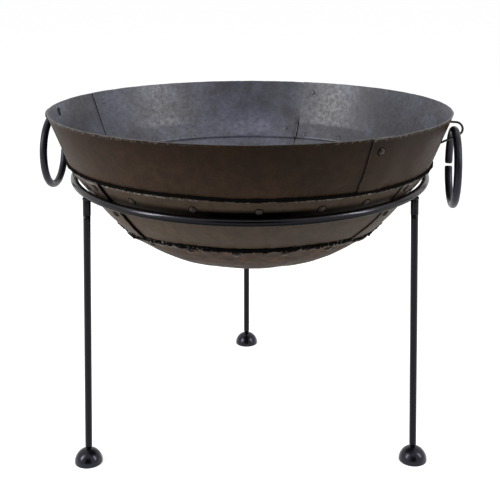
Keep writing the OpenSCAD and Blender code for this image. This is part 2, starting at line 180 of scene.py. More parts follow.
def finish_piece(bm, name, body, materials, nodes):
    """Makes the mesh an object in metres, hangs it on its body's empty, and hides the model parts it stands
    for.
    """
    bmesh.ops.scale(bm, vec=(0.001, 0.001, 0.001), verts=bm.verts)
    mesh = bpy.data.meshes.new(name)
    bm.to_mesh(mesh)
    bm.free()
    for material in materials:
        mesh.materials.append(material)
    mesh.shade_smooth()
    piece = bpy.data.objects.new(name, mesh)
    bpy.context.scene.collection.objects.link(piece)
    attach(piece, body)
    if nodes:
        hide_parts(*nodes)
    return piece


def give_thickness(piece):
    """Sheet thickness, inwards from the outer skin. Inner skin and cut edge have materials of their own."""
    solid = piece.modifiers.new("sheet thickness", "SOLIDIFY")
    solid.thickness = SHEET * 0.001
    solid.offset = -1
    solid.material_offset = 1
    solid.material_offset_rim = 2


# Hot rolled mild steel, blued and oiled outside: a satin brown-black skin with a fine grain and drifts of
# paler scale. Its tone changes with height on each course, painted shade that darkens the rim and side plates
# towards their top and the dish towards its foot. A sheared edge shows bare metal in nicks, brightest at the
# sides: part wear and part painted glint where the side lamps catch it. A band of painted shadow, nearly
# black, lies on the wall just above the stand ring, where the ring keeps the light from below off it.
def oiled_steel(name, top, low, heights, drift_size, blotchy, grain_depth, sheen):
    material, tree, shader = new_material(name)
    place = place_on(tree)
    axes = add(tree, "SeparateXYZ", {"Vector": place}).outputs
    height = axes["Z"]
    # Painted shade: the tone changes with height, darker towards the top of the rim and side plates and
    # towards the foot of the dish.
    tone = blend(tree, remap(tree, height, heights[0] * 0.001, heights[1] * 0.001), colour(low), colour(top))
    drift = cloudy(tree, place, drift_size, 4.0, 0.6)
    blotch = cloudy(tree, place, 0.016, 4.0, 0.7)
    grain = cloudy(tree, place, 0.0022, 2.0, 0.7)
    mottle = times(tree, remap(tree, drift, 0.32, 0.7, 0.74, 1.3),
                   remap(tree, blotch, 0.32, 0.68, 1 - blotchy, 1 + blotchy))
    mottle = times(tree, mottle, remap(tree, grain, 0.3, 0.7, 0.86, 1.12))
    tone = blend(tree, 1.0, tone, mottle, "MULTIPLY")
    # Nicks of bare metal on the edge band: part wear and part painted glint, brightest at the sides where the
    # side lamps catch it.
    wear_and_glint = add(tree, "Attribute", {}, attribute_name="edge_wear_and_glint").outputs["Fac"]
    nicks = remap(tree, cloudy(tree, place, 0.005, 3.0, 0.75), 0.5, 0.57)
    tone = blend(tree, times(tree, wear_and_glint, nicks), tone, colour("#9c968e"))
    # Painted shadow: a nearly black band with almost no reflection on the wall just above the stand ring,
    # strongest at the front, where the ring keeps the light from below off it.
    over = remap(tree, height, 0.4455, 0.4525, 1.0, 0.0)
    under = remap(tree, height, 0.426, 0.431)
    beside = add(tree, "Math", {0: axes["X"]}, operation="ABSOLUTE").outputs[0]
    painted_ring_shade = times(tree, times(tree, over, under), remap(tree, beside, 0.05, 0.24, 1.0, 0.35))
    fill(tree, shader, {"Base Color": blend(tree, painted_ring_shade, tone, colour("#050404")),
                        "Specular IOR Level": remap(tree, painted_ring_shade, 0.0, 1.0, sheen, 0.0),
                        "Roughness": remap(tree, drift, 0.3, 0.7, 0.44, 0.56),
                        "Normal": dented(tree, grain, 0.5, grain_depth)})
    return material


# The same steel inside, bare: blue-grey, with cloudy paler scale in patches and fine dark speckle.
def bare_inside_steel():
    material, tree, shader = new_material("bare_hot_rolled_steel", Specular_IOR_Level=0.6)
    place = place_on(tree)
    cloud = cloudy(tree, place, 0.16, 5.0, 0.66, Distortion=0.4)
    speckle = cloudy(tree, place, 0.008, 4.0, 0.8)
    tone = blend(tree, remap(tree, cloud, 0.42, 0.68), colour("#2f2f38"), colour("#636376"))
    tone = blend(tree, 1.0, tone, remap(tree, speckle, 0.36, 0.62, 0.56, 1.28), "MULTIPLY")
    fill(tree, shader, {"Base Color": tone, "Roughness": remap(tree, speckle, 0.36, 0.64, 0.52, 0.36),
                        "Normal": dented(tree, speckle, 0.45, 0.0004)})
    return material


# A sheared edge: grey-black torn steel, bright in places towards the sides of the bowl, part worn where hands
# and tools have passed along it and part painted glint where the side lamps catch it. Where it shows inside
# the bowl it is painted a pale blue-grey, lighter than the inside: painted light, so that its own shade
# doesn't show as a dark line.
def sheared_edge():
    material, tree, shader = new_material("sheared_steel_edge", Roughness=0.42, Specular_IOR_Level=0.4)
    tear = cloudy(tree, place_on(tree), 0.009, 4.0, 0.7)
    # Bright torn metal: part wear and part painted glint where the side lamps catch it.
    wear_and_glint = add(tree, "Attribute", {}, attribute_name="edge_wear_and_glint").outputs["Fac"]
    bright = times(tree, wear_and_glint, remap(tree, tear, 0.38, 0.56))
    tone = blend(tree, bright, colour("#1d1a1a"), colour("#b4b0ab"))
    # Painted light: inside the bowl the cut edge is painted paler than the inside, so that its own shade
    # doesn't show as a dark line.
    inner = add(tree, "Attribute", {}, attribute_name="inner_edge").outputs["Fac"]
    fill(tree, shader, {"Base Color": blend(tree, inner, tone, colour("#8a8a96")),
                        "Normal": dented(tree, tear, 0.6, 0.0004)})
    return material


def rub_and_glint(around):
    """How bright a cut edge is painted at an angle round the bowl, in degrees: part wear, part painted glint
    where the side lamps catch it. It stays dark at the front, where there is no lamp.
    """
    return min(1.0, 0.1 + 2.6 * max(0.0, abs(sin(radians(around))) - 0.18))


dish_outside = oiled_steel("hammered_oiled_steel", "#463629", "#3a2e24", (290, 372), 0.03, 0.5, 0.0012, 0.02)
inside = bare_inside_steel()
cut_edge = sheared_edge()

down_flange = Vector((-cos(DISH_SLOPE), -sin(DISH_SLOPE)))
flange_end = DISH_EDGE + DISH_FLANGE * down_flange
dish_radius = flange_end.x / sin(DISH_SLOPE)
dish_centre_z = flange_end.y + dish_radius * cos(DISH_SLOPE)
dish_outline = [DISH_EDGE + s * down_flange for s in (0, 0.7, 1.6, 3, 5, 8, 12, 17, 23, 30)]
dish_outline += [Vector((dish_radius * sin(a), dish_centre_z - dish_radius * cos(a)))
                 for a in (DISH_SLOPE * k / 36 for k in range(36, -1, -1))]
dish_outline[-1].x = 0.0

bm = spun_skin(dish_outline, 0, 360, 1.25)
edge_wear_and_glint = bm.verts.layers.float.new("edge_wear_and_glint")
for v in bm.verts:
    p = v.co.copy()
    around = atan2(p.x, -p.y)
    out = Vector((p.x, p.y, 0)).normalized() * sin(DISH_SLOPE) - Vector((0, 0, cos(DISH_SLOPE)))
    if p.z < flange_end.y:
        out = (p - Vector((0, 0, dish_centre_z))).normalized()
    below_edge = (DISH_EDGE.y - p.z) / sin(DISH_SLOPE)
    near_edge = exp(-below_edge / 4)
    lift = wall_shift(p) + hammer_dents(p) * min(1.0, below_edge / 30)
    lift += near_edge * max(0.0, 2.4 * noise.noise(Vector((around * 5, 3, 0))) + 0.5)
    for middle, reach, height in LIP_BUMPS:
        lift += height * exp(-below_edge / 28) * exp(-((degrees(around) - middle) / reach) ** 2)
    waver = 1.5 * noise.noise(Vector((around * 11, 0, 5))) + noise.noise(Vector((around * 38, 0, 9)))
    in_line = Vector((p.x, p.y, 0)).normalized() * down_flange.x + Vector((0, 0, down_flange.y))
    v.co = p + lift * out - near_edge * waver * in_line
    # A band below the dish's cut edge is painted bright in nicks: part wear, part painted glint at the sides.
    v[edge_wear_and_glint] = exp(-((below_edge - LIP_WEAR_AND_GLINT) / LIP_WEAR_AND_GLINT_W) ** 2) * rub_and_glint(degrees(around))
give_thickness(finish_piece(bm, "hammered_base_dish", "bowl",
                            [dish_outside, inside, cut_edge], ["base_dish"]))

# Side plates
# Three bowed plates of the same sheet. Where two meet, one end is raised to lap over the other. Their heads
# lap outside the foot of the rim plates, and their feet slip inside the dish's flange.
SIDE_EDGE = Vector((297.0, BOWL_Z))
SIDE_BOW = 4.1
COURSE_LAP = 34.0
side_bend = DISH_EDGE - LAYER * Vector((sin(DISH_SLOPE), -cos(DISH_SLOPE)))
chord = side_bend - SIDE_EDGE
bow_radius = (chord.length ** 2 / 4 + SIDE_BOW ** 2) / (2 * SIDE_BOW)
chord_out = Vector((-chord.y, chord.x)).normalized()
bow_centre = (SIDE_EDGE + side_bend) / 2 + (SIDE_BOW - bow_radius) * chord_out
bow_half_angle = asin(chord.length / 2 / bow_radius)
bow_length = 2 * bow_half_angle * bow_radius
SIDE_LAPS = {"right": 47.0, "back": 170.0, "left": 314.0}
SIDE_LAP_W = degrees(43.0 / SIDE_EDGE.x)
SIDE_RAMP = degrees(14.0 / SIDE_EDGE.x)
LAP_GAP = degrees(1.0 / SIDE_EDGE.x)
COLUMN_STEP = 0.75
END_COLUMNS = (0.16, 0.6)
FOOT_DROPS = (1.5, 5, 10, 15, 20, 25, 30, COURSE_LAP)
RIGHT_SWING = (1.1, -4.5, 0.55)  # as swung() reads it
LEFT_SWING = (-1.2, 1.0, 0.0)
NO_SWING = (0.0, 0.0, 0.0)
SIDE_RAGGED = 0.9
SIDE_WEAR_AND_GLINT = (1.0, 4.8)  # how bright the top edge is painted, part wear and part glint, and how far down


def round_bowl(flat, a):
    """A point or a way, given as its radius and height, at an angle round the bowl from the front."""
    return Vector((flat.x * sin(a), -flat.x * cos(a), flat.y))


def side_row(drop, inwards=0.0):
    """A point of the side plates' bowed section, at a length down from their top edge, with its way down and
    its way out."""
    lean = atan2(-chord_out.y, chord_out.x) - bow_half_angle + drop / bow_radius
    out = Vector((cos(lean), -sin(lean)))
    return bow_centre + (bow_radius - inwards) * out, Vector((out.y, -out.x)), out


def seam_drop(p):
    """How much lower the upper seam was laid out at a point's side of the bowl, with the sheet beside it."""
    a = atan2(p.x, -p.y)
    around = degrees(a)
    low = 2.8 * smooth_step((around + 20) / 20) + 1.5 * smooth_step((around - 12) / 30)
    low *= smooth_step((165 - around) / 60) * exp(-abs(p.z - BOWL_Z) / 12)
    return low * Vector((-0.34 * sin(a), 0.34 * cos(a), -0.94))


def swung(swing, share):
    """How far a raised end is swung round the bowl, in degrees, at a share of the way down its plate. swing
    says how far at its head, how far at its foot, and from what share it changes."""
    head, foot, begin = swing
    return head + (foot - head) * smooth_step((share - begin) / (1 - begin))


def cut_steps(length):
    """Distances down a plate, close together at its cut edge."""
    count = round((length - 8) / 4.5)
    return [0, 0.7, 1.6, 3, 5] + [8 + (length - 8) * k / count for k in range(count + 1)]


def column_angles(start, stop, lap_w, raised):
    """Where a plate's columns of points stand: close together at its ends, with one at the step behind a
    raised end."""
    count = round((stop - start) / COLUMN_STEP)
    angles = [start + (stop - start) * k / count for k in range(count + 1)]
    angles[1:3] = [start + END_COLUMNS[0], start + END_COLUMNS[1]]
    angles[-3:-1] = [stop - END_COLUMNS[1], stop - END_COLUMNS[0]]
    for end in raised:
        low = start + lap_w + LAP_GAP if end == "start" else stop - lap_w - LAP_GAP
        angles[round((low - start) / (stop - start) * count)] = low
    return angles


def bent_plate(rows, bend_z, start, stop, lap_w, ramp, raised, ragged, wear_and_glint_band, seed):
    """A bent plate between two angles. raised names the ends that lap outside its neighbours, each with its
    swing, and behind them the sheet comes back over the width ramp. wear_and_glint_band is how bright the top
    edge is painted, part wear and part painted glint, and how far down."""
    bm = spun_skin([row[0] for row in rows], start, stop, COLUMN_STEP)
    wear_and_glint = bm.verts.layers.float.new("edge_wear_and_glint")
    inner = bm.verts.layers.float.new("inner_edge")
    angles = column_angles(start, stop, lap_w, raised)
    heights = [row[0].y for row in rows]
    turn = (stop - start) / (len(angles) - 1)
    reach = lap_w + LAP_GAP
    foot_faces = []
    for f in bm.faces:
        middle = f.calc_center_median()
        around = (degrees(atan2(middle.x, -middle.y)) - start) % 360
        in_lap = "start" in raised and around < reach or "stop" in raised and stop - start - around < reach
        if middle.z < bend_z + 2 and in_lap:
            foot_faces.append(f)
    bmesh.ops.delete(bm, geom=foot_faces, context="FACES")
    for v in bm.verts:
        p = v.co.copy()
        row = min(range(len(rows)), key=lambda k: abs(heights[k] - p.z))
        point, down, out = rows[row]
        column = round(((degrees(atan2(p.x, -p.y)) - start + 1) % 360 - 1) / turn)
        around = angles[column]
        share = (heights[0] - p.z) / (heights[0] - bend_z)
        lift = 0.0
        for end, swing in raised.items():
            from_end = around - start if end == "start" else stop - around
            if from_end < reach + ramp:
                lift = LAYER * smooth_step((reach + ramp - from_end) / ramp)
                if from_end > reach + 0.01:
                    lift *= smooth_step((p.z - bend_z - 2) / 12)
                around += exp(-from_end / 1.6) * swung(swing, share)
                around += exp(-from_end / 0.5) * 0.28 * noise.noise(Vector((seed, p.z / 6, 0)))
        top_s = (heights[0] - p.z) / -rows[0][1].y
        a = radians(around)
        waver = exp(-top_s / 3) * ragged
        waver *= noise.noise(Vector((a * 12, seed, 0))) + 0.8 * noise.noise(Vector((a * 45, seed, 4)))
        burr = exp(-(top_s / 1.9) ** 2) * ragged * 0.45 * abs(noise.noise(Vector((a * 30, seed, 8))))
        flat = point + lift * out - waver * down
        way_out = round_bowl(out, a)
        v.co = round_bowl(flat, a) + (wall_shift(p) + burr) * way_out + seam_drop(p)
        # The top edge's wear and painted glint, brightest at the sides where the side lamps catch it.
        v[wear_and_glint] = wear_and_glint_band[0] * exp(-((top_s - wear_and_glint_band[1]) / 1.5) ** 2) * rub_and_glint(around)
        hidden_end = column < 1 and "start" not in raised or column > len(angles) - 2 and "stop" not in raised
        v[inner] = 1.0 if row == len(rows) - 1 or hidden_end and top_s > 4 else 0.0
    return bm


side_outside = oiled_steel("oiled_mill_scale_steel", "#3f352b", "#4b3f34", (372, 469), 0.11, 0.2,
                           0.00025, 0.06)
side_rows = [side_row(drop) for drop in cut_steps(bow_length - 1.5)]
side_rows += [(side_bend + drop * down_flange, down_flange, Vector((sin(DISH_SLOPE), -cos(DISH_SLOPE))))
              for drop in FOOT_DROPS]
SIDE_PLATES = (
    ("front_side_plate", SIDE_LAPS["left"] - 360 - SIDE_LAP_W, SIDE_LAPS["right"] + SIDE_LAP_W, {}),
    ("right_side_plate", SIDE_LAPS["right"], SIDE_LAPS["back"], {"start": RIGHT_SWING, "stop": NO_SWING}),
    ("left_side_plate", SIDE_LAPS["back"] - SIDE_LAP_W, SIDE_LAPS["left"], {"stop": LEFT_SWING}),
)
for seed, (name, start, stop, raised) in enumerate(SIDE_PLATES):
    bm = bent_plate(side_rows, side_bend.y, start, stop, SIDE_LAP_W, SIDE_RAMP, raised, SIDE_RAGGED,
                    SIDE_WEAR_AND_GLINT, seed)
    plate = finish_piece(bm, name + "_bent", "bowl", [side_outside, inside, cut_edge], [name])
    give_thickness(plate)

# Rim plates
# Three taller plates of the same sheet. Each is lapped over the one before it at its left end, and held
# there by one rivet. Their top edge is the bowl's rim, sheared, and bright in places towards the sides: part
# wear from handling, part painted glint.
RIM_EDGE = Vector((325.0, BOWL_Z + 78.0))
rim_bend = side_row(0, LAYER)[0]
rim_down = (rim_bend - RIM_EDGE).normalized()
rim_out = Vector((-rim_down.y, rim_down.x))
RIM_PLATES = (
    ("front_rim_plate", -126.0, 29.5),
    ("right_rim_plate", 29.5, 153.0),
    ("back_rim_plate", 153.0, 234.0),
)
RIM_LAP_W = degrees(44.0 / RIM_EDGE.x)
RIM_RAMP = degrees(45.0 / RIM_EDGE.x)
RIM_SWING = (0.7, 0.0, 0.55)
RIM_RAGGED = 0.35
RIM_WEAR_AND_GLINT = (0.3, 1.4)

rim_outside = oiled_steel("oiled_dark_mill_scale_steel", "#22160d", "#382b21", (469, 547), 0.14, 0.24,
                          0.0002, 0.06)
rim_rows = [(RIM_EDGE + s * rim_down, rim_down, rim_out)
            for s in cut_steps((rim_bend - RIM_EDGE).length - 1.5)]
rim_rows += [side_row(drop, LAYER) for drop in FOOT_DROPS]
for seed, (name, start, stop) in enumerate(RIM_PLATES):
    bm = bent_plate(rim_rows, rim_bend.y, start, stop + RIM_LAP_W, RIM_LAP_W, RIM_RAMP,
                    {"start": RIM_SWING}, RIM_RAGGED, RIM_WEAR_AND_GLINT, seed + 10)
    plate = finish_piece(bm, name + "_bent", "bowl", [rim_outside, inside, cut_edge], [name])
    give_thickness(plate)

# Seam filler and painted shade
# A black bead in the corner above the cut edge along each seam, and along the side laps: part black stove
# putty, which went on by hand, so it is lumpy and breaks off in places, and part painted shade of the dark
# gap there. Pale flecks on the lower one, at the sides only, are part dust and part painted glint.
# Nearly black and with almost no reflection, so that the bead also paints the shade in the gap.
filler_and_shade, tree, shader = new_material("black_seam_filler_and_shade", Roughness=0.8, Specular_IOR_Level=0.03)
place = place_on(tree)
crumb = cloudy(tree, place, 0.004, 4.0, 0.7)
dust_and_glint = remap(tree, cloudy(tree, place, 0.003, 2.0, 0.6), 0.6, 0.66)
axes = add(tree, "SeparateXYZ", {"Vector": place}).outputs
beside = add(tree, "Math", {0: axes["X"]}, operation="ABSOLUTE").outputs[0]
# Pale flecks on the lower bead at the sides only: part dust, part painted glint where the side lamps catch
# the seam.
where = times(tree, remap(tree, axes["Z"], 0.374, 0.377, 1.0, 0.0), remap(tree, beside, 0.05, 0.13))
tone = blend(tree, crumb, colour("#020202"), colour("#090807"))
fill(tree, shader, {"Base Color": blend(tree, times(tree, dust_and_glint, where), tone, colour("#8e8984")),
                    "Normal": dented(tree, crumb, 0.7, 0.0006)})

BEHIND_CORNER = 1.4
SUNK_IN_PLATE = 1.0


def outside_side_plates(flat):
    """How far a point lies outside the side plates' outer skin, and the way out there."""
    ray = flat - bow_centre
    return ray.length - bow_radius, ray.normalized()


def outside_rim_plates(flat):
    """The same for the rim plates."""
    return (flat - RIM_EDGE).dot(rim_out), rim_out


def filler_and_shade_round(name, corner, outside, wide, tall, lumps, ends, seed):
    """A bead round the bowl. corner is the middle of the cut edge, and wide and tall are its half sizes. It
    is thicker by ends near the side laps. outside keeps it out of the plates above it, so that it doesn't
    show inside the bowl."""
    bm = bmesh.new()
    ring = bmesh.ops.create_circle(bm, segments=10, radius=1.0)["verts"]
    for v in ring:
        v.co = Vector((0, -(corner.x + wide * v.co.x), corner.y + tall * v.co.y))
    spin_round(bm, ring + list(bm.edges), 720, 0.001)
    for v in bm.verts:
        a = atan2(v.co.x, -v.co.y)
        flat = Vector((hypot(v.co.x, v.co.y), v.co.z))
        size = 0.95 + lumps * noise.noise(Vector((a * 16, seed, 0)))
        size += 0.8 * lumps * noise.noise(Vector((a * 60, seed, 3)))
        beside = abs(degrees(a))
        size += ends * exp(-((beside - 53) / 5) ** 2) * (0.5 + 2.0 * noise.noise(Vector((a * 40, seed, 7))))
        size -= ends * 0.9 * smooth_step((beside - 57) / 5) * smooth_step((85 - beside) / 10)
        flat = corner + (flat - corner) * max(0.35, size)
        flat.y += 0.3 * noise.noise(Vector((a * 25, seed, 6)))
        spot = round_bowl(corner, a)
        shift = wall_shift(spot)
        flat.x = max(flat.x, corner.x - BEHIND_CORNER) + shift
        clear, out = outside(flat)
        flat += max(0.0, shift - SUNK_IN_PLATE - clear) * out
        v.co = round_bowl(flat, a) + seam_drop(spot)
    bmesh.ops.recalc_face_normals(bm, faces=bm.faces)
    finish_piece(bm, name, "bowl", [filler_and_shade], [])


def filler_and_shade_down(name, around, swing, low, high, radius, seed):
    """A bead down the raised end of a side plate, from height high to low. swing is the end's own."""
    bm = bmesh.new()
    bmesh.ops.create_grid(bm, x_segments=48, y_segments=5, size=1.0)
    for v in bm.verts:
        z = low + (high - low) * (v.co.x + 1) / 2
        drop = (SIDE_EDGE.y - z) / (SIDE_EDGE.y - side_bend.y) * bow_length
        point, _, out = side_row(drop)
        share = (SIDE_EDGE.y - point.y) / (SIDE_EDGE.y - side_bend.y)
        a = radians(around + swung(swing, share)) + (v.co.y + 0.7) * radius / 260
        round_up = sqrt(max(0.0, 1 - v.co.y ** 2)) * (1 + 0.25 * noise.noise(Vector((seed, drop / 7, 0))))
        point = point + (0.2 + radius * round_up) * out
        v.co = round_bowl(point, a)
        v.co += wall_shift(v.co) * round_bowl(out, a) + seam_drop(v.co)
    finish_piece(bm, name, "bowl", [filler_and_shade], [])


filler_and_shade_round("upper_seam_filler_and_shade", SIDE_EDGE + Vector((-0.2, 0.3)), outside_rim_plates, 1.7, 2.7, 0.45, 0.0, 1)
filler_and_shade_round("lower_seam_filler_and_shade", DISH_EDGE + Vector((-0.2, 0.9)), outside_side_plates, 2.6, 4.6, 0.6, 0.5, 2)
filler_and_shade_down("left_lap_filler_and_shade", SIDE_LAPS["left"] - 360, LEFT_SWING, side_bend.y + 3, SIDE_EDGE.y - 2, 3.1, 21)
filler_and_shade_down("right_lap_filler_and_shade", SIDE_LAPS["right"], RIGHT_SWING, side_bend.y + 3, SIDE_EDGE.y - 2, 1.0, 22)

# Rivets
# Mild steel rivets with hammered heads, each in a thin collar of the black seam filler, which also paints the
# dark ring of shade round its head. Each went through every sheet of its lap and was closed inside, where its
# tail is hammered nearly flush.
rivet_steel, tree, shader = new_material("hammered_rivet_steel", Roughness=0.33, Specular_IOR_Level=0.14)
blow = cloudy(tree, place_on(tree), 0.005, 3.0)
fill(tree, shader, {"Base Color": blend(tree, blow, colour("#1f1815"), colour("#3b312a")),
                    "Normal": dented(tree, blow, 0.6, 0.0006)})

HEAD_R = 5.0
HEAD_H = 3.0
TAIL_H = 1.2
SHANK_R = 2.5
UPPER_ROW_DROP = 24
UPPER_ROW_ENDS = (10.3, 12.2)
UPPER_ROW_PITCH = 18
FRONT_OFF_MARK = (0.2, -0.95, -0.15, 1.1, 0.0)
LOWER_ROW_DROP = 17
LOWER_ROW_FIRST = -5.5
LOWER_ROW_COUNT = 18
RIM_LAP_DROP = 20
SIDE_LAP_DROPS = ((13, -LAYER - SHEET), (70, -SHEET))  # how far down, and where its tail is


def put_rivet(bm, around, point, out, outer, inner):
    """One rivet through the wall, with its head at offset outer and its tail at offset inner from the
    sheet's face."""
    one = bmesh.new()
    section = [(0, outer + HEAD_H)]
    section += [(HEAD_R * sin(t), outer + HEAD_H * cos(t)) for t in (0.35, 0.7, 1.0, 1.25, 1.4)]
    section += [(HEAD_R + 0.2, outer + 0.4), (HEAD_R + 1.3, outer + 0.25), (HEAD_R + 1.4, outer - 0.35)]
    section += [(SHANK_R, outer - 0.4), (SHANK_R, inner + 0.4), (HEAD_R - 0.6, inner + 0.3)]
    section += [(HEAD_R * 0.95 * sin(t), inner - TAIL_H * cos(t)) for t in (pi / 2, 1.3, 1.0, 0.6)]
    section += [(0, inner - TAIL_H)]
    verts = [one.verts.new((r, 0, h)) for r, h in section]
    edges = [one.edges.new(pair) for pair in zip(verts, verts[1:])]
    spin_round(one, verts + edges, 18, 0.01)
    bmesh.ops.recalc_face_normals(one, faces=one.faces)
    for f in one.faces:
        middle = f.calc_center_median()
        f.material_index = 1 if middle.z < inner + 0.2 else 0
        # The collar takes the black seam filler: painted shade round the head.
        if hypot(middle.x, middle.y) > HEAD_R - 0.1 and middle.z > outer - 0.5:
            f.material_index = 2
    a = radians(around)
    seed = Vector((around * 0.37, point.x * 0.05, 0))
    for v in one.verts:
        if abs(v.co.z - outer) < HEAD_H + 1 and v.co.z > outer - 0.5:
            v.co += Vector((v.co.x, v.co.y, 0)) * 0.09 * noise.noise(v.co / 4 + seed)
            v.co.z = outer + (v.co.z - outer) * (1 + 0.18 * noise.noise(v.co / 3 - seed))
    way_out = round_bowl(out, a)
    tangent = Vector((cos(a), sin(a), 0))
    up = way_out.cross(tangent)
    axes = Matrix((tangent, up, way_out)).transposed().to_4x4()
    spot = round_bowl(point, a)
    spot += wall_shift(spot) * way_out + seam_drop(spot)
    one.transform(Matrix.Translation(spot) @ axes)
    part = bpy.data.meshes.new("rivet")
    one.to_mesh(part)
    one.free()
    bm.from_mesh(part)
    bpy.data.meshes.remove(part)


def upper_rivet_angles(start, stop):
    """Where the upper row's rivets stand between two side laps, a little wider apart at the start."""
    first = start + UPPER_ROW_ENDS[0]
    last = stop - UPPER_ROW_ENDS[1]
    gaps = max(round((last - first) / UPPER_ROW_PITCH), 1)
    return [first + (last - first) * (k / gaps) ** 0.88 for k in range(gaps + 1)]


rivet_materials = [rivet_steel, inside, filler_and_shade]
point, _, out = side_row(UPPER_ROW_DROP)
laps = list(SIDE_LAPS.values())
bm = bmesh.new()
for start, stop in zip([laps[-1] - 360] + laps, laps):
    for k, around in enumerate(upper_rivet_angles(start, stop)):
        off_mark = FRONT_OFF_MARK[k] if start < 0 else 0.0
        put_rivet(bm, around + off_mark, point, out, 0, -LAYER - SHEET)
finish_piece(bm, "upper_seam_rivet_row", "bowl", rivet_materials, ["upper_seam_rivets"])

bm = bmesh.new()
for k in range(LOWER_ROW_COUNT):
    put_rivet(bm, LOWER_ROW_FIRST + k * 360 / LOWER_ROW_COUNT, DISH_EDGE + LOWER_ROW_DROP * down_flange,
              Vector((sin(DISH_SLOPE), -cos(DISH_SLOPE))), 0.2, -LAYER - SHEET)
finish_piece(bm, "lower_seam_rivet_row", "bowl", rivet_materials, ["lower_seam_rivets"])

bm = bmesh.new()
for _, start, stop in RIM_PLATES:
    put_rivet(bm, start + RIM_LAP_W / 2, RIM_EDGE + RIM_LAP_DROP * rim_down, rim_out, LAYER, -SHEET)
finish_piece(bm, "rim_lap_rivet_heads", "bowl", rivet_materials, ["rim_lap_rivets"])

bm = bmesh.new()
for end, around in SIDE_LAPS.items():
    middle = around + SIDE_LAP_W / 2 * (1 if end == "right" else -1)
    for drop, inner in SIDE_LAP_DROPS:
        point, _, out = side_row(drop)
        put_rivet(bm, middle, point, out, LAYER, inner)
finish_piece(bm, "side_lap_rivet_heads", "bowl", rivet_materials, ["side_lap_rivets"])

# Handle eyes
# Each handle hangs in a staple of 3.5 mm black wire. It is bent round the handle's bar, and both its legs go
# through the rim plate and are hammered down flat inside.
# Blacked wrought bar has a soft satin with long paler drifts, and the thin wire is rubbed a little bright.
black_iron, tree, shader = new_material("blacked_wrought_bar", Specular_IOR_Level=0.3,
                                        Specular_Tint=colour("#dcdcf6"))
place = place_on(tree)
scale = cloudy(tree, place, 0.018, 4.0, 0.6)
fill(tree, shader, {"Base Color": blend(tree, scale, colour("#0c0c0f"), colour("#222227")),
                    "Roughness": remap(tree, scale, 0.3, 0.7, 0.28, 0.46),
                    "Normal": dented(tree, cloudy(tree, place, 0.0018, 2.0), 0.35, 0.0002)})

wire_iron, tree, shader = new_material("rubbed_iron_wire", Roughness=0.3, Specular_IOR_Level=0.3)
rub = cloudy(tree, place_on(tree), 0.006, 3.0)
fill(tree, shader, {"Base Color": blend(tree, rub, colour("#101013"), colour("#3c3c43"))})

WIRE_R = 1.75
WIRE_TIP_RADII = (1.1, 1.5, 1.65)
BEND_R = 10.25
BAR_R = 6.0
BAR_PLAY = 0.6
LEG_SLOPE = radians(28)
CLINCH_SPREAD = radians(28)
CLINCH = ((1.2, 0.5), (3, 0.3), (6, 0), (9.5, -0.1), (12, -0.1))  # how far along the sheet, and off it
handle_line = RIM_EDGE + Vector((4.2, -20.5))
leg_way = Vector((-cos(LEG_SLOPE), -sin(LEG_SLOPE)))
leg_out = Vector((sin(LEG_SLOPE), -cos(LEG_SLOPE)))
eye_centre = handle_line - (BEND_R - BAR_R - BAR_PLAY - WIRE_R) * leg_out - 2.3 * leg_way


def bar_along(bm, path, radii, sides):
    """A round bar: a ring of points is drawn along the path, with a radius at each of its points."""
    ways = [(b - a).normalized() for a, b in zip(path, path[1:])]
    ways = [ways[0]] + [(a + b).normalized() for a, b in zip(ways, ways[1:])] + [ways[-1]]
    across = ways[0].orthogonal().normalized()
    ring = bmesh.ops.create_circle(bm, segments=sides, radius=1.0, cap_ends=True)["verts"]
    shape = [v.co.copy() for v in ring]
    edges = list({e for v in ring for e in v.link_edges})
    for k, (spot, way) in enumerate(zip(path, ways)):
        across = (across - across.dot(way) * way).normalized()
        beside = way.cross(across)
        if k:
            made = bmesh.ops.extrude_edge_only(bm, edges=edges)["geom"]
            ring = [g for g in made if isinstance(g, bmesh.types.BMVert)]
            edges = [g for g in made if isinstance(g, bmesh.types.BMEdge) and all(v in ring for v in g.verts)]
            order = {v: min(range(sides), key=lambda i: (v.co - last[i]).length) for v in ring}
        else:
            order = {v: i for i, v in enumerate(ring)}
        last = [spot + radii[k] * (c.x * across + c.y * beside) for c in shape]
        for v in ring:
            v.co = last[order[v]]
    bmesh.ops.contextual_create(bm, geom=edges)
    bmesh.ops.recalc_face_normals(bm, faces=bm.faces)


def wall_crossing(spot, way):
    """Where a straight leg comes out of the rim plate's inner face, just clear of it."""
    start = RIM_EDGE - (SHEET + WIRE_R * 0.8) * rim_out
    across = way.x * rim_down.y - way.y * rim_down.x
    reach = ((start.x - spot.x) * rim_down.y - (start.y - spot.y) * rim_down.x) / across
    return spot + reach * way


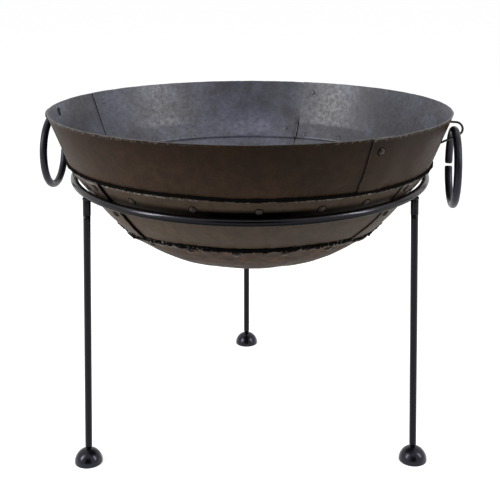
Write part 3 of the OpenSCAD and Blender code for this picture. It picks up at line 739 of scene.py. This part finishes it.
HANDLES = {
    "left": {"angle": 266.0, "turn": -1.0, "gap": 0.8, "gap_at": 188.5},
    "right": {"angle": 71.0, "turn": 13.0, "gap": 4.0, "gap_at": -8.5},
}
for side, handle in HANDLES.items():
    bend = [eye_centre + BEND_R * Vector((cos(t), sin(t)))
            for t in (pi / 2 - (pi - LEG_SLOPE) * k / 20 for k in range(21))]
    top_in = wall_crossing(bend[0], Vector((-1, 0)))
    low_in = wall_crossing(bend[-1], leg_way)
    flat_path = [top_in, top_in + Vector((3, 0))] + bend + [low_in - 3 * leg_way, low_in]
    path = [Vector((p.x, 0, p.y)) for p in flat_path]
    for end, spread, at in ((0, CLINCH_SPREAD, top_in), (-1, -CLINCH_SPREAD, low_in)):
        way = Vector((rim_down.x * cos(spread), sin(spread), rim_down.y * cos(spread)))
        inwards = Vector((-rim_out.x, 0, -rim_out.y))
        clinch = [Vector((at.x, 0, at.y)) + s * way + lift * inwards for s, lift in CLINCH]
        path = clinch[::-1] + path if end == 0 else path + clinch
    radii = [WIRE_R] * len(path)
    for k, r in enumerate(WIRE_TIP_RADII):
        radii[k] = radii[-1 - k] = r
    bm = bmesh.new()
    bar_along(bm, path, radii, 14)
    bm.transform(Matrix.Rotation(radians(handle["angle"] - 90), 4, "Z"))
    finish_piece(bm, side + "_wire_staple", "bowl", [wire_iron], [side + "_handle_eye"])

# Ring handles
# Two rings of 12 mm round bar, bent hot round a former and butted end to end without a weld. The right one
# has sprung open and shows its gap. Each hangs loose in its staple.
RING_R = 126.0 / 2 - BAR_R
RING_STEPS = 150
for side, handle in HANDLES.items():
    gap = handle["gap"] / RING_R
    bm = bmesh.new()
    path = []
    radii = []
    for k in range(RING_STEPS + 1):
        t = radians(handle["gap_at"]) + gap / 2 + (2 * pi - gap) * k / RING_STEPS
        near_end = min(k, RING_STEPS - k)
        wobble = 0.25 * noise.noise(Vector((cos(t) * 2, sin(t) * 2, handle["angle"])))
        path.append(Vector((0, (RING_R + wobble) * cos(t), (RING_R + wobble) * sin(t))))
        rough_bar = 0.12 * noise.noise(Vector((cos(t) * 5, sin(t) * 5, 1)))
        radii.append(BAR_R * (1 - 0.16 * exp(-near_end / 0.35)) + rough_bar)
    bar_along(bm, path, radii, 28)
    a = radians(handle["angle"])
    hang = round_bowl(handle_line, a)
    place_ring = Matrix.Translation(hang) @ Matrix.Rotation(a - pi / 2 + radians(handle["turn"]), 4, "Z")
    bm.transform(place_ring @ Matrix.Translation((0, 0, -RING_R)))
    finish_piece(bm, side + "_hanging_ring", side + "_handle", [black_iron],
                 [side + "_ring_handle"])

# Stand ring
# One length of 12 mm round bar, rolled to a circle, butt-welded at the back and ground, then painted black
# with the legs. It came out of the rolls a few millimetres out of flat. The bowl rests in it on its side
# laps. The paint's shine is set by which way it faces: strong on top and almost none below, a painted shade
# that keeps the underside from mirroring the white floor.
paint, tree, shader = new_material("satin_black_enamel", Specular_Tint=colour("#e2e2f4"))
place = place_on(tree)
# Painted shade: reflection is strong on faces that look up and almost none on faces that look down.
facing = add(tree, "TexCoord", {}).outputs["Normal"]
facing_up = add(tree, "SeparateXYZ", {"Vector": facing}).outputs["Z"]
dust = cloudy(tree, place, 0.05, 4.0, 0.65)
fill(tree, shader, {"Base Color": blend(tree, dust, colour("#040302"), colour("#0d0907")),
                    "Specular IOR Level": remap(tree, facing_up, -0.5, 0.6, 0.02, 0.42),
                    "Roughness": remap(tree, dust, 0.3, 0.7, 0.17, 0.27),
                    "Normal": dented(tree, cloudy(tree, place, 0.0035, 2.0), 0.25, 0.0002)})

low, high = (corner * 1000 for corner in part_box("stand_ring"))
bar_r = (high.z - low.z) / 2
ring_r = (high.x - low.x) / 2 - bar_r
ring_z = (low.z + high.z) / 2
BUTT_WELD_AT = 200.0
OUT_OF_FLAT = (1.18, -1.9, -2.33, 0.75)  # in waves of 0 to 3 to the turn

bm = bmesh.new()
circle = bmesh.ops.create_circle(bm, segments=28, radius=bar_r)["verts"]
for v in circle:
    v.co = Vector((ring_r + v.co.x, 0, ring_z + v.co.y))
spin_round(bm, circle + list(bm.edges), 300, 0.01)
wall_out = (Vector((ring_r, ring_z)) - bow_centre).normalized()
for v in bm.verts:
    a = atan2(v.co.x, -v.co.y)
    core = round_bowl(Vector((ring_r, ring_z)), a)
    off_weld = abs((degrees(a) - BUTT_WELD_AT + 180) % 360 - 180)
    around_bar = (v.co - core) * (1 + 0.06 * exp(-(off_weld / 0.9) ** 2) + 0.006 * noise.noise(core / 30))
    out_of_flat = sum(height * cos(waves * a) for waves, height in enumerate(OUT_OF_FLAT))
    wider = -out_of_flat * wall_out.y / wall_out.x
    v.co = core + around_bar + round_bowl(Vector((wider, out_of_flat)), a)
bmesh.ops.recalc_face_normals(bm, faces=bm.faces)
finish_piece(bm, "rolled_bar_ring", "stand", [paint], ["stand_ring"])

# Leg sockets and their welds
# Three short tubes cut to a saddle, pushed up against the ring and welded all round with a small rippled
# bead. Each leg leans out a little, in the line of its socket.
SPLAY = radians(1.75)
SOCKET_R = 6.0
SOCKET_BORE_R = 4.3
SOCKET_L = 32.0


def spun_part(section, steps):
    """A turned part: a closed section of radius and height, spun round its own axis."""
    bm = bmesh.new()
    verts = [bm.verts.new((r, 0, h)) for r, h in section]
    edges = [bm.edges.new(pair) for pair in zip(verts, verts[1:] + verts[:1])
             if pair[0].co.x + pair[1].co.x > 0]
    spin_round(bm, verts + edges, steps, 0.001)
    bmesh.ops.recalc_face_normals(bm, faces=bm.faces)
    return bm


def rounded(corner_list, size):
    """A section whose corners are cut back and given a middle point, so that the edges catch the light."""
    made = []
    for k, corner in enumerate(corner_list):
        here = Vector(corner)
        before = Vector(corner_list[k - 1])
        after = Vector(corner_list[(k + 1) % len(corner_list)])
        a = here + (before - here).normalized() * size
        b = here + (after - here).normalized() * size
        made += [a, (a + b) / 2 * 0.5 + here * 0.5, b]
    return made


# The weld's ripples show through the paint, so it glints in small spots.
weld_metal, tree, shader = new_material("painted_weld_bead", Roughness=0.4, Specular_IOR_Level=0.18)
ripple = cloudy(tree, place_on(tree), 0.003, 3.0)
fill(tree, shader, {"Base Color": blend(tree, ripple, colour("#0c0908"), colour("#1a1512")),
                    "Normal": dented(tree, ripple, 0.6, 0.0005)})

LEGS = {}
for side in ("left", "right", "back"):
    low, high = (corner * 1000 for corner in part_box(side + "_foot"))
    middle = (low + high) / 2
    around = atan2(middle.x, -middle.y)
    LEGS[side] = {
        "around": around,
        "foot_top": high.z,
        "foot_at": Vector((middle.x, middle.y, 0)),
        "frame": Matrix.Translation((ring_r * sin(around), -ring_r * cos(around), ring_z))
        @ Matrix.Rotation(around - pi / 2, 4, "Z") @ Matrix.Rotation(-SPLAY, 4, "Y"),
    }


def rippled_bead(seed):
    """A small weld bead round the head of a socket, with the ripples of a hand-run arc."""
    section = [(SOCKET_R - 0.4, -2.6), (SOCKET_R + 0.2, -2.0), (SOCKET_R + 0.5, -0.8), (SOCKET_R + 0.6, 0.4),
               (SOCKET_R + 0.3, 1.2), (SOCKET_R - 0.4, 1.4)]
    bm = spun_part(section, 72)
    for v in bm.verts:
        a = atan2(v.co.y, v.co.x)
        r = hypot(v.co.x, v.co.y)
        swell = 1 + 0.16 * sin(a * 17 + v.co.z * 0.9 + seed)
        swell += 0.2 * noise.noise(Vector((cos(a) * 2, sin(a) * 2, seed)))
        r = SOCKET_R + (r - SOCKET_R) * swell
        taller = 1 + 0.2 * noise.noise(Vector((cos(a), sin(a), seed + 5)))
        v.co = Vector((r * cos(a), r * sin(a), v.co.z * taller))
    bmesh.ops.recalc_face_normals(bm, faces=bm.faces)
    return bm


for seed, (side, leg) in enumerate(LEGS.items()):
    bm = spun_part(rounded([(SOCKET_BORE_R, -SOCKET_L), (SOCKET_R, -SOCKET_L), (SOCKET_R, -bar_r + 1.5),
                            (SOCKET_BORE_R, -bar_r + 1.5)], 0.5), 48)
    bm.transform(leg["frame"])
    finish_piece(bm, side + "_socket_tube", "stand", [paint], [side + "_leg_socket"])
    bm = rippled_bead(seed * 2.3)
    bm.transform(leg["frame"] @ Matrix.Translation((0, 0, -bar_r)))
    finish_piece(bm, side + "_socket_bead", "stand", [weld_metal], [side + "_socket_weld"])

# Legs
# Three lengths of 11 mm drawn round bar, painted satin black, so that each shows two thin streaks of light.
# Both ends are turned down to 8 mm pins, the upper one for the socket and the lower one for the foot.
LEG_R = 5.5
PIN_R = 4.0
NECK_L = 5.0
FOOT_R = 22.0
FOOT_SKIRT = 1.0
FOOT_HOLE = 9.0
foot_h = FOOT_R + FOOT_SKIRT
leg_crown = (ring_z - foot_h) / cos(SPLAY)
leg_end = (ring_z - foot_h + FOOT_HOLE) / cos(SPLAY)
for side, leg in LEGS.items():
    shoulder = SOCKET_L + 0.3
    top = -bar_r - 0.3
    straight = leg_crown - NECK_L
    section = [(0, -leg_end), (PIN_R - 0.4, -leg_end), (PIN_R, -leg_end + 0.4), (PIN_R, -leg_crown)]
    section += [(PIN_R + (LEG_R - PIN_R) * smooth_step(k / 6), -leg_crown + NECK_L * k / 6)
                for k in range(1, 6)]
    section += [(LEG_R, -straight + (straight - shoulder - 0.4) * k / 60) for k in range(61)]
    section += [(LEG_R - 0.4, -shoulder), (PIN_R, -shoulder), (PIN_R, top - 1), (PIN_R - 1, top), (0, top)]
    bm = spun_part(section, 40)
    for v in bm.verts:
        v.co.x += 0.12 * noise.noise(Vector((v.co.z / 90, leg["around"], 0)))
    bm.transform(leg["frame"])
    finish_piece(bm, side + "_round_bar_leg", side + "_leg_with_foot", [paint],
                 [side + "_leg"])

# Feet
# Three half balls of cast iron, turned flat below, drilled for the leg's pin and dipped in gloss black
# enamel.
gloss, tree, shader = new_material("gloss_black_enamel", Specular_IOR_Level=0.4,
                                   Specular_Tint=colour("#dcdcf6"))
flow = cloudy(tree, place_on(tree), 0.02, 2.0)
fill(tree, shader, {"Base Color": blend(tree, flow, colour("#060607"), colour("#101012")),
                    "Roughness": remap(tree, flow, 0.3, 0.7, 0.2, 0.3),
                    "Normal": dented(tree, flow, 0.3, 0.0006)})

for seed, (side, leg) in enumerate(LEGS.items()):
    section = [(0, 0), (FOOT_R - 0.4, 0), (FOOT_R, 0.4), (FOOT_R, FOOT_SKIRT)]
    section += [(FOOT_R * cos(t), FOOT_SKIRT + FOOT_R * sin(t))
                for t in (radians(4 * k) for k in range(1, 20))]
    section += [(PIN_R + 0.3, foot_h - 0.5), (0, foot_h - 0.4)]
    bm = spun_part(section, 96)
    for v in bm.verts:
        v.co.x *= 1 + 0.006 * noise.noise(Vector((v.co.x / 20, v.co.y / 20, seed)))
    bm.transform(Matrix.Translation(leg["foot_at"]))
    finish_piece(bm, side + "_half_ball_foot", side + "_leg_with_foot", [gloss],
                 [side + "_foot"])

# Floor
# A plain white studio floor. It keeps the object's shadow, and is lifted to plain white for the camera and
# for reflections only.
FLOOR_LIFT = 0.62
FLOOR_HALF = 30.0


def rays_that_see(tree):
    """1 for rays from the camera, for mirrored rays and for those that pass through, and 0 for light."""
    paths = add(tree, "LightPath", {}).outputs
    seen = add(tree, "Math", {0: paths["Is Camera Ray"], 1: paths["Is Glossy Ray"]}, operation="MAXIMUM")
    seen = add(tree, "Math", {0: seen.outputs[0], 1: paths["Is Transmission Ray"]}, operation="MAXIMUM")
    return seen.outputs[0]


def studio_piece(bm, name, material):
    """Makes the mesh a piece of the studio, not of the object."""
    mesh = bpy.data.meshes.new(name)
    bm.to_mesh(mesh)
    bm.free()
    mesh.materials.append(material)
    piece = bpy.data.objects.new(name, mesh)
    bpy.context.scene.collection.objects.link(piece)
    return piece


floor_paint, tree, shader = new_material("white_studio_floor", Roughness=0.9, Specular_IOR_Level=0.0,
                                         Base_Color=colour("#f2f2f2"), Emission_Color=colour("#ffffff"))
fill(tree, shader, {"Emission Strength": times(tree, rays_that_see(tree), FLOOR_LIFT)})
bm = bmesh.new()
bmesh.ops.create_grid(bm, x_segments=2, y_segments=2, size=FLOOR_HALF)
studio_piece(bm, "studio_floor", floor_paint)

# Studio light
# A white world and a tall soft box at each side in front. The left one also lights the bowl's inside at the
# back right, and the front between them is left without a lamp.
WORLD_STRENGTH = 0.42
LIGHTS_AIM = Vector((0, 0, 0.42))
LIGHTS = (
    ("soft_box_left", (-2.0, -1.0, 1.55), (0.24, 1.5), 44.0),
    ("soft_box_right", (2.2, -0.8, 1.6), (0.22, 1.5), 30.0),
)
world = bpy.data.worlds.new("studio_white")
bpy.context.scene.world = world
world.use_nodes = True
tree = world.node_tree
background = tree.nodes["Background"]
fill(tree, background, {"Color": colour("#ffffff"), "Strength": WORLD_STRENGTH})
white = add(tree, "Background", {"Color": colour("#ffffff"), "Strength": 1.0})
choose = add(tree, "MixShader", {0: rays_that_see(tree), 1: background.outputs[0], 2: white.outputs[0]})
fill(tree, tree.nodes["World Output"], {"Surface": choose.outputs[0]})

for name, spot, size, power in LIGHTS:
    lamp = bpy.data.lights.new(name, "AREA")
    lamp.shape = "RECTANGLE"
    lamp.size, lamp.size_y = size
    lamp.energy = power
    light = bpy.data.objects.new(name, lamp)
    light.location = spot
    light.rotation_euler = (LIGHTS_AIM - Vector(spot)).to_track_quat("-Z", "Y").to_euler()
    bpy.context.scene.collection.objects.link(light)

# Dark card
# A black card stands behind the camera, so that the front of the bowl mirrors no light. No picture shows it.
CARD_AT = (0, -2.7, 1.4)
CARD_HALF = 1.2
card_black, _, _ = new_material("matt_black_card", Roughness=1.0, Specular_IOR_Level=0.0,
                                Base_Color=colour("#0a0a0a"))
bm = bmesh.new()
bmesh.ops.create_grid(bm, x_segments=1, y_segments=1, size=CARD_HALF)
bm.transform(Matrix.Translation(CARD_AT) @ Matrix.Rotation(pi / 2, 4, "X"))
studio_piece(bm, "dark_card", card_black).visible_camera = False

# Camera
# It stands 1.4 m in front of the bowl's middle and 0.77 m up, looking down a little. The shift puts the
# object in the frame as in the photograph.
lens = bpy.data.cameras.new("camera")
lens.sensor_width = 36.0
lens.lens = 62.5
lens.shift_y = -0.21
camera = bpy.data.objects.new("camera", lens)
camera.location = (0, -1.404, 0.767)
camera.rotation_euler = (pi / 2 - 0.2, 0, 0)
bpy.context.scene.collection.objects.link(camera)
bpy.context.scene.camera = camera
bpy.context.scene.view_settings.view_transform = "Standard"
